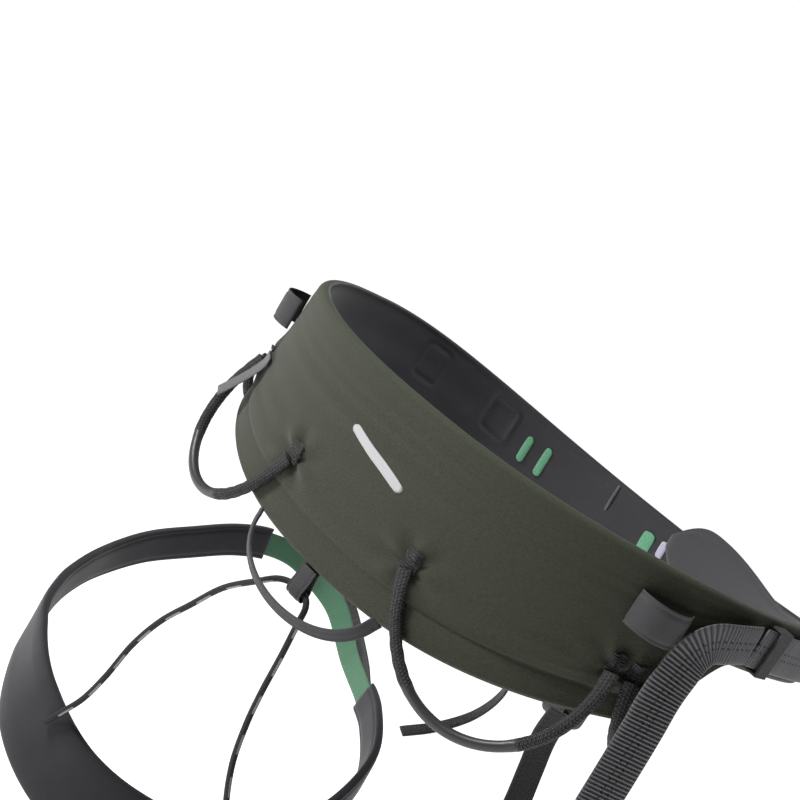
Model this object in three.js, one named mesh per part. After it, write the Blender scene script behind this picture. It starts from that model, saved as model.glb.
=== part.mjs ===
// Rock-climbing sit harness: laminated waist belt, buckle, tie-in and belay
// loops, two elastic leg loops with a rear riser cord, and racking loops.
// Millimetres. +Z up, the wearer faces -Y, the wearer's left is +X.
// The origin is the middle of the waist ring, level with the belt's top edge.
import * as THREE from 'three';
import * as BufferGeometryUtils from 'three/addons/utils/BufferGeometryUtils.js';

// ---------- driving dimensions ----------
const WAIST_HALF_WIDTH = 151.3;
const WAIST_HALF_DEPTH = 117.6;
const WAIST_SQUARENESS = 2.3;        // exponent of the waist's superellipse
const BELT_REAR_HEIGHT = 90.8;
const BELT_SIDE_HEIGHT = 55.9;
const BELT_WING_HEIGHT = 56.4;       // height the full-width wing would have in front
const BELT_FRONT_HEIGHT = 27;        // narrow band in front of the right hip
const BELT_LEFT_FRONT_HEIGHT = 36;   // and of the left hip
const BELT_FLARE = 0.0005;           // growth of the ring per mm below the top edge
const TOP_TILT = 10.7;               // rear of the top edge above its front
const TOP_ARCH = 11.1;               // sides of the top edge above front and rear
const BELT_START = -190;             // left end, past the front centre, degrees from the rear
const BELT_END = 156;                // right end
const NARROWING = [63, 79];          // where the right wing narrows to the front band, degrees
const LEFT_NARROWING = [95, 150];
const LAYERS = {                     // offsets from the belt's outer face
  shell: [-1.0, 0],
  loadTape: [-2.3, -1.3],
  foam: [-5.4, -2.6],
  lining: [-6.7, -5.7],
  tongue: [-10.9, -7.2],
};
const WEBBING_WIDTH = 19;
const WEBBING_THICKNESS = 1.6;
const CORD_DIAMETER = 5;             // racking loops
const RISER_DIAMETER = 3;            // rear riser cord
const TIE_IN_LEVEL = -29.5;           // middle of the upper tie-in loop
const LEG_TIE_LEVEL = -128;          // middle of the lower tie-in loop
const TIE_IN_HEIGHT = 16;
const BELAY_WIDTH = 14;
const BELAY_THICKNESS = 3.6;
const LEG_BAND_WIDTH = 19.5;
const LEG_REAR_WIDTH = 40;

const FINISHES = {
  olive: { color: 0x474b38, roughness: 0.95 },
  lining: { color: 0x38373d, roughness: 0.9 },
  foam: { color: 0x55565a, roughness: 1.0 },
  webbing: { color: 0x3f3f44, roughness: 0.8 },
  cord: { color: 0x2e2e31, roughness: 0.75 },
  green: { color: 0x3f8f5f, roughness: 0.85 },
  tape: { color: 0x46464b, roughness: 0.6 },
  metal: { color: 0x9b9da1, roughness: 0.35, metalness: 1 },
};

const harness = new THREE.Group();

// ---------- small helpers ----------
const radians = THREE.MathUtils.degToRad;
const signedPower = (value, power) => Math.sign(value) * Math.abs(value) ** power;
const fraction = (low, high, value) => THREE.MathUtils.smoothstep(value, low, high);

function add(name, geometry, finish, parent = harness) {
  const mesh = new THREE.Mesh(geometry, new THREE.MeshStandardMaterial(FINISHES[finish]));
  mesh.name = name;
  parent.add(mesh);
  return mesh;
}

// A box whose corners and divisions are moved by place(u, v, w), each 0 to 1:
// u along the piece, v through its thickness, w across its width.
function shapedBox(place, steps) {
  const box = new THREE.BoxGeometry(1, 1, 1, steps, 1, 1);
  box.deleteAttribute('normal');
  box.deleteAttribute('uv');
  const solid = BufferGeometryUtils.mergeVertices(box, 1e-6);
  const position = solid.getAttribute('position');
  for (let i = 0; i < position.count; i += 1) {
    const point = place(position.getX(i) + 0.5, position.getY(i) + 0.5, position.getZ(i) + 0.5);
    position.setXYZ(i, point.x, point.y, point.z);
  }
  if (signedVolume(solid) < 0) {
    const index = solid.getIndex();
    for (let i = 0; i < index.count; i += 3) {
      const first = index.getX(i);
      index.setX(i, index.getX(i + 1));
      index.setX(i + 1, first);
    }
  }
  return solid;
}

function signedVolume(geometry) {
  const position = geometry.getAttribute('position');
  const index = geometry.getIndex();
  const corner = (i) => new THREE.Vector3().fromBufferAttribute(position, index.getX(i));
  let volume = 0;
  for (let i = 0; i < index.count; i += 3) {
    volume += corner(i).dot(corner(i + 1).cross(corner(i + 2))) / 6;
  }
  return volume;
}

// A flat tape bent along a path in its own plane: the path's points are [x, y],
// the tape stands width tall along Z.
function bentTape(points, thickness, width) {
  const path = points.map(([x, y]) => new THREE.Vector2(x, y));
  const side = (sign) => path.map((point, i) => {
    const before = path[Math.max(i - 1, 0)];
    const after = path[Math.min(i + 1, path.length - 1)];
    const along = after.clone().sub(before).normalize();
    return new THREE.Vector2(point.x - sign * along.y * thickness / 2,
      point.y + sign * along.x * thickness / 2);
  });
  const outline = new THREE.Shape([...side(1), ...side(-1).reverse()]);
  return new THREE.ExtrudeGeometry(outline, { depth: width, bevelEnabled: false })
    .translate(0, 0, -width / 2);
}

// A round cord along a curve, with a polygon section of 2 * halfSides sides.
function cord(curve, diameter, steps, halfSides) {
  const section = new THREE.Shape();
  section.absarc(0, 0, diameter / 2, 0, 2 * Math.PI);
  return new THREE.ExtrudeGeometry(section,
    { steps, extrudePath: curve, curveSegments: halfSides, bevelEnabled: false });
}

const smoothCurve = (points) => new THREE.CatmullRomCurve3(points, false, 'centripetal');

// A flat ribbon along a curve: widthAt(t) gives its width, and across(t) the
// direction of its width, squared up to the curve.
function ribbon({ curve, from = 0, to = 1, widthAt, across, inner, outer, steps, facing }) {
  return shapedBox((u, v, w) => {
    const t = from + (to - from) * u;
    const tangent = curve.getTangent(t);
    const wide = across(t);
    wide.addScaledVector(tangent, -wide.dot(tangent)).normalize();
    const out = new THREE.Vector3().crossVectors(tangent, wide).normalize();
    const centre = curve.getPoint(t);
    if (out.dot(facing(centre)) < 0) out.negate();
    return centre.addScaledVector(wide, (w - 0.5) * widthAt(t))
      .addScaledVector(out, inner + (outer - inner) * v);
  }, steps);
}

// ---------- waist ring ----------
function topLevel(angle) {
  const c = Math.cos(radians(angle));
  return TOP_TILT * c + TOP_ARCH * (1 - c * c);
}

function wingHeight(angle) {
  const c = Math.cos(radians(angle));
  const slope = (BELT_REAR_HEIGHT - BELT_WING_HEIGHT) / 2;
  const bow = (BELT_REAR_HEIGHT + BELT_WING_HEIGHT) / 2 - BELT_SIDE_HEIGHT;
  return BELT_SIDE_HEIGHT + slope * c + bow * c * c;
}

function beltHeight(angle) {
  const [front, [from, to]] = angle < 0
    ? [BELT_LEFT_FRONT_HEIGHT, LEFT_NARROWING] : [BELT_FRONT_HEIGHT, NARROWING];
  return THREE.MathUtils.lerp(wingHeight(angle), front, fraction(from, to, Math.abs(angle)));
}

// Outward horizontal direction of the belt's face.
function waistNormal(angle) {
  const c = Math.cos(radians(angle));
  const s = Math.sin(radians(angle));
  const power = 2 - 2 / WAIST_SQUARENESS;
  return new THREE.Vector3(-signedPower(s, power) / WAIST_HALF_WIDTH,
    signedPower(c, power) / WAIST_HALF_DEPTH, 0).normalize();
}

// A point on the belt: angle in degrees from the rear centre towards the
// wearer's right, drop below the top edge, offset out of the outer face.
function waistPoint(angle, drop, offset = 0) {
  const c = Math.cos(radians(angle));
  const s = Math.sin(radians(angle));
  const grown = 1 + BELT_FLARE * drop;
  const power = 2 / WAIST_SQUARENESS;
  const point = new THREE.Vector3(-WAIST_HALF_WIDTH * signedPower(s, power) * grown,
    WAIST_HALF_DEPTH * signedPower(c, power) * grown, topLevel(angle) - drop);
  return point.addScaledVector(waistNormal(angle), offset);
}

// A strip that follows the waist between two angles.
function waistStrip({ from, to, top, bottom, layer, steps }) {
  return shapedBox((u, v, w) => {
    const angle = from + (to - from) * u;
    const drop = THREE.MathUtils.lerp(bottom(angle), top(angle), w);
    return waistPoint(angle, drop, layer[0] + (layer[1] - layer[0]) * v);
  }, steps);
}

const BELT_STEPS = 70;
const beltLayer = (layer, inset) => waistStrip({
  from: BELT_START + inset / 2,
  to: BELT_END - inset / 2,
  top: () => inset,
  bottom: (angle) => beltHeight(angle) - inset,
  layer,
  steps: BELT_STEPS,
});
add('belt_outer_shell', beltLayer(LAYERS.shell, 0), 'olive');
add('belt_foam_core', beltLayer(LAYERS.foam, 1.5), 'foam');
add('belt_lining', beltLayer(LAYERS.lining, 0), 'lining');
add('belt_load_tape', waistStrip({
  from: BELT_START + 4,
  to: BELT_END - 4,
  top: (angle) => beltHeight(angle) / 2 - 10,
  bottom: (angle) => beltHeight(angle) / 2 + 10,
  layer: LAYERS.loadTape,
  steps: 56,
}), 'webbing');

// Protective tongue behind the buckle, with a rounded end and a raised top.
const TONGUE_START = 118;
const TONGUE_END = 176;
const TONGUE_RISE = 12;
const tongueRound = (angle) => 15 * (1 - Math.sqrt(Math.max(0, 1 - fraction(166, TONGUE_END, angle) ** 2)));
add('front_tongue', waistStrip({
  from: TONGUE_START,
  to: TONGUE_END,
  top: (angle) => tongueRound(angle) - TONGUE_RISE * fraction(135, 168, angle) + 1,
  bottom: (angle) => beltHeight(angle) - 1 - tongueRound(angle),
  layer: LAYERS.tongue,
  steps: 22,
}), 'lining');

// ---------- waist webbing and buckle ----------
const STRAP_DROP = BELT_FRONT_HEIGHT / 2;
const strapOnBelt = (from, to, low, steps) => waistStrip({
  from,
  to,
  top: () => STRAP_DROP - WEBBING_WIDTH / 2,
  bottom: () => STRAP_DROP + WEBBING_WIDTH / 2,
  layer: [low, low + WEBBING_THICKNESS],
  steps,
});
const BUCKLE_ANGLE = 163.5;
const KEEPER_ANGLES = { keeper_front: 128, keeper_side: 84 };
const TAIL_TURN = 80;                // where the strap's loose end leaves the belt
add('waist_strap', strapOnBelt(96, 159, 0.5, 20), 'webbing');
add('strap_return', strapOnBelt(TAIL_TURN, 159, 2.6, 24), 'webbing');
add('buckle_strap', strapOnBelt(168, 205, 0.5, 16), 'webbing');

// Frame at a belt angle: X along the belt towards the front, Y up, Z outward.
function groupOnBelt(angle, drop, offset) {
  const outward = waistNormal(angle);
  const up = new THREE.Vector3(0, 0, 1);
  const along = new THREE.Vector3().crossVectors(up, outward);
  const group = new THREE.Group();
  group.matrixAutoUpdate = false;
  group.matrix.makeBasis(along, up, outward).setPosition(waistPoint(angle, drop, offset));
  harness.add(group);
  return group;
}

function slottedPlate(width, height, thickness, slots) {
  const outline = new THREE.Shape();
  const r = 3;
  const [w, h] = [width / 2, height / 2];
  outline.absarc(w - r, h - r, r, 0, Math.PI / 2);
  outline.absarc(-w + r, h - r, r, Math.PI / 2, Math.PI);
  outline.absarc(-w + r, -h + r, r, Math.PI, 1.5 * Math.PI);
  outline.absarc(w - r, -h + r, r, 1.5 * Math.PI, 2 * Math.PI);
  for (const [low, high, slotHeight] of slots) {
    outline.holes.push(new THREE.Path([[low, -1], [low, 1], [high, 1], [high, -1]]
      .map(([x, sign]) => new THREE.Vector2(x, sign * slotHeight / 2))));
  }
  return new THREE.ExtrudeGeometry(outline, { depth: thickness, bevelEnabled: false, curveSegments: 4 });
}

const buckle = groupOnBelt(BUCKLE_ANGLE, STRAP_DROP, 4.6);
const BUCKLE_SLOT_HEIGHT = WEBBING_WIDTH + 1.5;
add('buckle_frame', slottedPlate(31, 30, 2.6, [[-12, -6.5, BUCKLE_SLOT_HEIGHT], [-2, 11, BUCKLE_SLOT_HEIGHT + 0.6]]),
  'metal', buckle);
const slider = new THREE.Group();
slider.position.set(-5.5, 0, 3);
buckle.add(slider);
add('buckle_slider', slottedPlate(18, 28, 2.2, [[-5.6, -1.2, BUCKLE_SLOT_HEIGHT], [1.4, 5.8, BUCKLE_SLOT_HEIGHT + 0.6]]),
  'metal', slider);

// Elastic keepers, stitched to the belt above and below the strap.
for (const [name, angle] of Object.entries(KEEPER_ANGLES)) {
  const keeper = groupOnBelt(angle, STRAP_DROP, 0.9);
  const [half, rise, thick] = [WEBBING_WIDTH / 2 + 1, 6, 1];
  const outline = new THREE.Shape([[half, 0], [half + thick, 0], [half + thick, rise],
    [-half - thick, rise], [-half - thick, 0], [-half, 0], [-half, rise - thick],
    [half, rise - thick]].map(([x, y]) => new THREE.Vector2(x, y)));
  const geometry = new THREE.ExtrudeGeometry(outline, { depth: 8, bevelEnabled: false })
    .translate(0, 0, -4)
    .applyMatrix4(new THREE.Matrix4().makeBasis(new THREE.Vector3(0, 1, 0),
      new THREE.Vector3(0, 0, 1), new THREE.Vector3(1, 0, 0)));
  add(name, geometry, 'webbing', keeper);
}

// Loose end of the waist strap: it leaves the side keeper, turns down and hangs.
const tailCurve = smoothCurve([
  [79, 13.5, 3.4], [73, 15.5, 6.5], [67.5, 19, 8.5], [64.8, 26, 9.5], [63.6, 37, 10.5],
  [63, 48, 11], [63, 62, 11.5], [63, 80, 11.5], [63, 102, 11],
].map(([angle, drop, offset]) => waistPoint(angle, drop, offset)));
const beltOutward = (point) => new THREE.Vector3(point.x / WAIST_HALF_WIDTH ** 2,
  point.y / WAIST_HALF_DEPTH ** 2, 0).normalize();
add('strap_tail', ribbon({
  curve: tailCurve,
  widthAt: () => WEBBING_WIDTH,
  across: (t) => new THREE.Vector3().crossVectors(tailCurve.getTangent(t), beltOutward(tailCurve.getPoint(t))),
  inner: -WEBBING_THICKNESS / 2,
  outer: WEBBING_THICKNESS / 2,
  steps: 26,
  facing: beltOutward,
}), 'webbing');

// ---------- tie-in loops and belay loop ----------
// Each tie-in loop is a band that bulges forward; the belay loop rings both.
const FRONT_FACE = -WAIST_HALF_DEPTH - 3;
function tieInBand(halfSpan, depth) {
  const points = [];
  const pieces = 17;
  for (let i = 0; i <= pieces; i += 1) {
    const angle = Math.PI * i / pieces;
    points.push([-halfSpan * signedPower(Math.cos(angle), 0.8), -depth * Math.sin(angle) ** 0.8]);
  }
  return points;
}
add('upper_tie_in_loop', bentTape(tieInBand(19, 13), 2.4, TIE_IN_HEIGHT)
  .translate(0, FRONT_FACE - 1, TIE_IN_LEVEL), 'webbing');
add('lower_tie_in_loop', bentTape(tieInBand(24, 20), 2.4, TIE_IN_HEIGHT)
  .translate(0, FRONT_FACE + 6, LEG_TIE_LEVEL), 'webbing');

// At rest the belay loop hangs on the upper tie-in loop, with slack below.
const belayTop = TIE_IN_LEVEL + TIE_IN_HEIGHT / 2 + 2;
const belayBottom = LEG_TIE_LEVEL - TIE_IN_HEIGHT / 2 - 5.3;
const BELAY_INNER = 4.4;             // half the gap between the loop's two strands
function stadium(path, radius, high, low, clockwise) {
  path.absarc(0, high, radius, 0, Math.PI, clockwise);
  path.absarc(0, low, radius, Math.PI, 2 * Math.PI, clockwise);
  return path;
}
const belayOutline = stadium(new THREE.Shape(), BELAY_INNER + BELAY_THICKNESS,
  belayTop - BELAY_INNER, belayBottom + BELAY_INNER, false);
belayOutline.holes.push(stadium(new THREE.Path(), BELAY_INNER, belayTop - BELAY_INNER,
  belayBottom + BELAY_INNER, false));
const BELAY_Y = FRONT_FACE - 13.6;
add('belay_loop', new THREE.ExtrudeGeometry(belayOutline,
  { depth: BELAY_WIDTH, bevelEnabled: false, curveSegments: 9 })
  .translate(0, 0, -BELAY_WIDTH / 2)
  .applyMatrix4(new THREE.Matrix4().makeBasis(new THREE.Vector3(0, 1, 0),
    new THREE.Vector3(0, 0, 1), new THREE.Vector3(1, 0, 0)))
  .translate(0, BELAY_Y, 0), 'webbing');

// ---------- racking loops ----------
// Each loop is a cubic curve that leaves the belt at a rear end and a front
// end: [angle, drop, outward, down, along the chord] at each end. A null drop
// sews that end under the belt's lower edge.
const RACKING_LOOPS = {
  gear_loop_rear: { rear: [13.5, 61, 13, 75, 28], front: [53.9, 50, 29.5, 57, 5] },
  gear_loop_front: { rear: [58.4, 50, 26, 60, -2], front: [157, null, 12, 60, -8] },
};
const cordSeat = CORD_DIAMETER / 2 + 0.4;
function rackingCurve(side, { rear, front }) {
  const start = waistPoint(side * rear[0], rear[1], cordSeat);
  const end = front[1] === null
    ? waistPoint(side * front[0], beltHeight(side * front[0]) + 3.2, -3)
    : waistPoint(side * front[0], front[1], cordSeat);
  const chord = end.clone().sub(start).setZ(0).normalize();
  const handle = (point, [angle, , out, down, along], sign) => point.clone()
    .addScaledVector(waistNormal(side * angle), out).addScaledVector(chord, sign * along)
    .add(new THREE.Vector3(0, 0, -down));
  return new THREE.CubicBezierCurve3(start, handle(start, rear, 1), handle(end, front, 1), end);
}
for (const [side, word] of [[-1, 'left'], [1, 'right']]) {
  for (const [name, ends] of Object.entries(RACKING_LOOPS)) {
    add(`${name}_${word}`, cord(rackingCurve(side, ends), CORD_DIAMETER, 22, 5), 'cord');
  }
}

// Stitched patches that hold the loops' ends, one beside each end.
const PATCHES = { rear_inner: [13.5, 54], front_inner: [53.9, 43], front_outer: [58.4, 41] };
for (const [side, word] of [[-1, 'left'], [1, 'right']]) {
  for (const [name, [angle, drop]] of Object.entries(PATCHES)) {
    const patch = groupOnBelt(side * angle, drop, 0.3);
    add(`bar_tack_${name}_${word}`, new THREE.BoxGeometry(6, 8, 1.2).translate(0, 0, 0.9), 'cord', patch);
  }
}

// Haul loop: a flat tape hanging from the belt's lower edge at the rear.
const HAUL_ANGLE = 13.2;
const haulDrop = beltHeight(HAUL_ANGLE) + 2.2;
const haulEnds = [1, -1].map((side) => waistPoint(side * HAUL_ANGLE, haulDrop, -1));
const haulCurve = new THREE.CubicBezierCurve3(haulEnds[0],
  haulEnds[0].clone().add(new THREE.Vector3(8, 12, -29)),
  haulEnds[1].clone().add(new THREE.Vector3(-8, 12, -29)), haulEnds[1]);
add('haul_loop', ribbon({
  curve: haulCurve,
  widthAt: () => 6,
  across: (t) => new THREE.Vector3().crossVectors(haulCurve.getTangent(t), new THREE.Vector3(0, 1, 0))
    .add(new THREE.Vector3(0, 0.7, 0)),
  inner: -0.8,
  outer: 0.8,
  steps: 25,
  facing: (point) => new THREE.Vector3(point.x, 20, -40),
}), 'tape');

// Rear tab: a folded tape below the belt; the riser cord runs through its fold.
const TAB_WIDTH = 10;
const tabTop = waistPoint(0, BELT_REAR_HEIGHT + 0.6, -3);
const tabPath = [[-1.2, 0], [-1.6, -6], [-2.6, -11], [-2.2, -14], [0, -15.6], [2.2, -14], [2.6, -11], [1.6, -6], [1.2, 0]];
add('rear_tab', bentTape(tabPath, 1, TAB_WIDTH)
  .applyMatrix4(new THREE.Matrix4().makeBasis(new THREE.Vector3(0, 1, 0),
    new THREE.Vector3(0, 0, 1), new THREE.Vector3(1, 0, 0)))
  .translate(0, tabTop.y, tabTop.z), 'tape');

// Clipper tapes: short stiff bands that stand proud of the belt.
function clipperTape(name, angle, drop, span, height, bulge) {
  const points = [];
  const pieces = 11;
  for (let i = 0; i <= pieces; i += 1) {
    const u = i / pieces;
    points.push([span * (u - 0.5), bulge * Math.sin(Math.PI * u) ** 0.6]);
  }
  const geometry = bentTape(points, 1.2, height)
    .applyMatrix4(new THREE.Matrix4().makeBasis(new THREE.Vector3(1, 0, 0),
      new THREE.Vector3(0, 0, 1), new THREE.Vector3(0, -1, 0)));
  add(name, geometry, 'tape', groupOnBelt(angle, drop, 1.1));
}
for (const [side, word] of [[-1, 'left'], [1, 'right']]) {
  clipperTape(`clipper_tape_${word}`, side * 56.5, 21, 25, 16.5, 10);
}

// Label tab: flat against the belt at its top edge, standing off lower down.
const LABEL_WIDTH = 17;
const labelPath = [[15, 1.0], [10, 1.3], [3, 4.2], [-5, 8.8], [-14, 14.5]];
add('label_tab', bentTape(labelPath, 1, LABEL_WIDTH)
  .applyMatrix4(new THREE.Matrix4().makeBasis(new THREE.Vector3(0, 1, 0),
    new THREE.Vector3(0, 0, 1), new THREE.Vector3(1, 0, 0))), 'tape', groupOnBelt(-46.2, 57, 0));

// ---------- leg loops ----------
// One leg loop's centre line, as a closed curve; the wearer's left leg.
const LEG_RING = [
  [178, -56, -161], [170, -75, -162], [158, -90, -169], [141, -97, -176], [114, -98, -193],
  [89, -90, -198], [66, -79, -201], [34, -54, -212], [13, -10, -232], [10, 38, -248],
  [26, 88, -256], [60, 120, -250], [100, 130, -234], [135, 118, -216], [156, 98, -202],
  [170, 76, -195], [182, 50, -190], [188, 22, -182], [188, -8, -174], [184, -36, -165],
];
const THIGH_AXIS = [0.12, -0.1, 1];
const LEG_CENTRE = [100, 5, -205];
const legRing = (side) => new THREE.CatmullRomCurve3(
  LEG_RING.map(([x, y, z]) => new THREE.Vector3(side * x, y, z)), true, 'centripetal');

function legLoop(side, word) {
  const ring = legRing(side);
  const awayFromThigh = (point) => new THREE.Vector3(point.x - side * LEG_CENTRE[0], point.y - LEG_CENTRE[1], 0);
  const across = () => new THREE.Vector3(side * THIGH_AXIS[0], THIGH_AXIS[1], THIGH_AXIS[2]);
  const band = (name, finish, from, to, widthAt, inner, outer, steps) => add(`${name}_${word}`, ribbon({
    curve: ring, from, to, widthAt, across, inner, outer, steps, facing: awayFromThigh,
  }), finish);
  // The padded band runs from the crotch round the rear to the outer thigh.
  const padFrom = 0.258;
  const padTo = 0.999;
  const padWidth = (t) => LEG_BAND_WIDTH
    + (LEG_REAR_WIDTH - LEG_BAND_WIDTH) * fraction(0.4, 0.52, t) * (1 - fraction(0.6, 0.74, t));
  band('leg_pad_shell', 'lining', padFrom, padTo, padWidth, 1.3, 2.8, 96);
  band('leg_pad_foam', 'foam', padFrom, padTo, padWidth, -0.8, 0.8, 96);
  band('leg_pad_lining', 'lining', padFrom, padTo, padWidth, -2.8, -1.3, 96);
  // Elastic and load strap cross the front of the thigh; the load strap is the
  // longer of the two, so at rest it bows away from the elastic.
  const narrow = (width) => () => width;
  band('leg_elastic', 'green', 0.006, 0.25, narrow(14), -0.8, 0.8, 20);
  const bow = smoothCurve([0.045, 0.08, 0.115, 0.15, 0.185, 0.22, 0.25].map((t, i) => {
    const point = ring.getPoint(t);
    const away = awayFromThigh(point).setZ(0).normalize();
    return point.addScaledVector(away, 3 + 11 * Math.sin(Math.PI * i / 6));
  }));
  add(`leg_load_strap_${word}`, ribbon({
    curve: bow, widthAt: narrow(12), across, inner: -0.7, outer: 0.7, steps: 14, facing: awayFromThigh,
  }), 'webbing');
}

for (const [side, word] of [[1, 'left'], [-1, 'right']]) {
  legLoop(side, word);
  // Strap from the padded band's crotch end up to the lower tie-in loop.
  const strap = smoothCurve([
    [19, -106, -129], [18.5, -106, -146], [24, -103, -164], [34, -93, -181], [44, -79, -193],
  ].map(([x, y, z]) => new THREE.Vector3(side * x, y, z)));
  add(`leg_tie_strap_${word}`, ribbon({
    curve: strap,
    widthAt: () => 15,
    across: () => new THREE.Vector3(side * -0.6, 0.75, 0),
    inner: -1,
    outer: 1,
    steps: 12,
    facing: () => new THREE.Vector3(0, -1, 0),
  }), 'webbing');
}

// ---------- rear riser cord ----------
// One cord runs through the rear tab's fold, with an end on each leg loop.
const RISER_LEFT = [
  [0.3, 119.9, -92.6], [6, 119.9, -92.7], [13, 120.3, -95.5], [23, 120.5, -104], [38, 121, -118.5],
  [49, 122, -136], [58, 124, -152], [65, 125, -171], [69, 126, -194], [73, 127.5, -210], [78, 130.4, -222], [82, 132.2, -231],
];
const RISER_RIGHT = [
  [-0.3, 119.9, -92.6], [-5.6, 119.9, -92.8], [-9, 120.3, -96], [-10.5, 121, -104.5], [-12, 121, -120],
  [-14, 122, -139], [-17, 123, -155], [-24, 125, -173], [-38, 127, -191], [-56, 128, -203], [-72, 128.4, -211], [-80, 130.6, -221], [-85, 132.2, -230],
];
for (const [word, points] of [['left', RISER_LEFT], ['right', RISER_RIGHT]]) {
  const curve = smoothCurve(points.map((point) => new THREE.Vector3(...point)));
  add(`riser_cord_${word}`, cord(curve, RISER_DIAMETER, 32, 4), 'cord');
}

export default harness;
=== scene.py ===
import bpy
import numpy as np
from mathutils import Matrix, Vector


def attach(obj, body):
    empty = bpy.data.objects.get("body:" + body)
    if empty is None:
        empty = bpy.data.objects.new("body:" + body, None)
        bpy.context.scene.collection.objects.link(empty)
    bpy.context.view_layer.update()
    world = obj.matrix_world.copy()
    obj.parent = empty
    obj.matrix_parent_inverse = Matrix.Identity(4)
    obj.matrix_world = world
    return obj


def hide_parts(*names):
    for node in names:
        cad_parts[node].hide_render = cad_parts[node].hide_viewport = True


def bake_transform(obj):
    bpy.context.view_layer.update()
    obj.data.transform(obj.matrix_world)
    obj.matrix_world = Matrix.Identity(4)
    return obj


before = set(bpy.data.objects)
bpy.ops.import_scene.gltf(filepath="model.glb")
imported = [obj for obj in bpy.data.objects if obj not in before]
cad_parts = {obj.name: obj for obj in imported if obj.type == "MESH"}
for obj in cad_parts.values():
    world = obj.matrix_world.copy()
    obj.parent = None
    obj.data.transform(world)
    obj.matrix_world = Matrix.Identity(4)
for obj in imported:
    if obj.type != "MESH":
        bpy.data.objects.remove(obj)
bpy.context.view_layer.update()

# ---------------------------------------------------------------- camera
# The harness is seen from behind its right hip, a little from above, with the
# camera rolled so that the belt slopes down towards the buckle.
CAMERA_PLACE = Vector((-0.47465, 0.71332, 0.16112))
CAMERA_AIM = Vector((0.06752, 0.04506, -0.01509))
CAMERA_ROLL = np.radians(31.259)
camera = bpy.data.objects.new("camera", bpy.data.cameras.new("camera"))
bpy.context.scene.collection.objects.link(camera)
camera.data.lens = 80.08
camera.data.sensor_width = 36
back = (CAMERA_PLACE - CAMERA_AIM).normalized()
level = Vector((0, 0, 1)).cross(back).normalized()
upright = back.cross(level)
side = level * np.cos(CAMERA_ROLL) + upright * np.sin(CAMERA_ROLL)
above = upright * np.cos(CAMERA_ROLL) - level * np.sin(CAMERA_ROLL)
turn = Matrix((side, above, back)).transposed().to_4x4()
camera.matrix_world = Matrix.Translation(CAMERA_PLACE) @ turn
bpy.context.scene.camera = camera


# ---------------------------------------------------------------- cords
# Racking loops: 5 mm cord in a braided sleeve near its sewn ends and a smooth
# satin tube between. Riser cord: 3 mm braid that runs through the rear tab.
WAIST_HALF_WIDTH, WAIST_HALF_DEPTH, SQUARENESS = 0.1513, 0.1176, 2.3


def signed_power(value, power):
    """|value| to the power, with value's sign."""
    return np.sign(value) * np.abs(value) ** power


def outward(angle):
    """Horizontal direction out of the waist's superellipse at angle (degrees
    from the rear centre, positive towards the wearer's right)."""
    c, s = np.cos(np.radians(angle)), np.sin(np.radians(angle))
    power = 2 - 2 / SQUARENESS
    x, y = -signed_power(s, power) / WAIST_HALF_WIDTH, signed_power(c, power) / WAIST_HALF_DEPTH
    return np.stack([x, y, 0 * x], -1) / np.hypot(x, y)[..., None]


def waist(angle, drop, out=0.0):
    """Point of the belt: superellipse |x/a|^n + |y/b|^n = 1 that grows 0.5 per
    mille per mm of drop below a wavy top edge, moved out along its normal.
    angle in degrees, drop and out in millimetres, result in metres."""
    angle, drop, out = np.broadcast_arrays(*(np.asarray(v, float) for v in (angle, drop, out)))
    c, s = np.cos(np.radians(angle)), np.sin(np.radians(angle))
    grown = 1 + 0.0005 * drop
    power = 2 / SQUARENESS
    top = 0.0107 * c + 0.0111 * (1 - c * c)
    place = np.stack([
        -WAIST_HALF_WIDTH * signed_power(s, power) * grown,
        WAIST_HALF_DEPTH * signed_power(c, power) * grown,
        top - drop / 1000], -1)
    return place + outward(angle) * out[..., None] / 1000


def belt_height(angle):
    """Height of the belt in mm: a cosine wave that is 91 at the rear and 56 at
    the hips, then a smooth step down to the front band, which is early and
    narrow on the wearer's right, and late and taller on the left."""
    angle = np.asarray(angle, float)
    c = np.cos(np.radians(angle))
    wing = 55.9 + 17.2 * c + 17.7 * c * c
    left = angle < 0
    t = np.clip(np.where(left, (-angle - 95) / 55, (angle - 63) / 16), 0, 1)
    t = t * t * (3 - 2 * t)
    return wing * (1 - t) + np.where(left, 36.0, 27.0) * t


def spline(points, t, closed=False):
    """Centripetal Catmull-Rom through points at t from 0 to 1, where each
    stretch between two points has an equal share of t."""
    p = np.asarray(points, float)
    t = np.asarray(t, float)
    if closed:
        p = np.concatenate([p[-1:], p, p[:2]])
        stretches = len(points)
    else:
        p = np.concatenate([2 * p[:1] - p[1:2], p, 2 * p[-1:] - p[-2:-1]])
        stretches = len(points) - 1
    place = np.clip(t, 0, 1) * stretches
    i = np.minimum(place.astype(int), stretches - 1)
    f = (place - i)[:, None]
    p0, p1, p2, p3 = (p[i + k] for k in range(4))
    gap = [np.maximum(np.linalg.norm(b - a, axis=1, keepdims=True) ** 0.5, 1e-6)
           for a, b in ((p0, p1), (p1, p2), (p2, p3))]
    m1 = ((p1 - p0) / gap[0] - (p2 - p0) / (gap[0] + gap[1]) + (p2 - p1) / gap[1]) * gap[1]
    m2 = ((p2 - p1) / gap[1] - (p3 - p1) / (gap[1] + gap[2]) + (p3 - p2) / gap[2]) * gap[1]
    return (p1 + m1 * f + (3 * (p2 - p1) - 2 * m1 - m2) * f ** 2
            + (2 * (p1 - p2) + m1 + m2) * f ** 3)


def bezier(a, b, c, d, t):
    """Cubic curve from a to d with handles b and c."""
    t = np.asarray(t)[:, None]
    return (a * (1 - t) ** 3 + 3 * b * t * (1 - t) ** 2 + 3 * c * t * t * (1 - t) + d * t ** 3)


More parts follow.
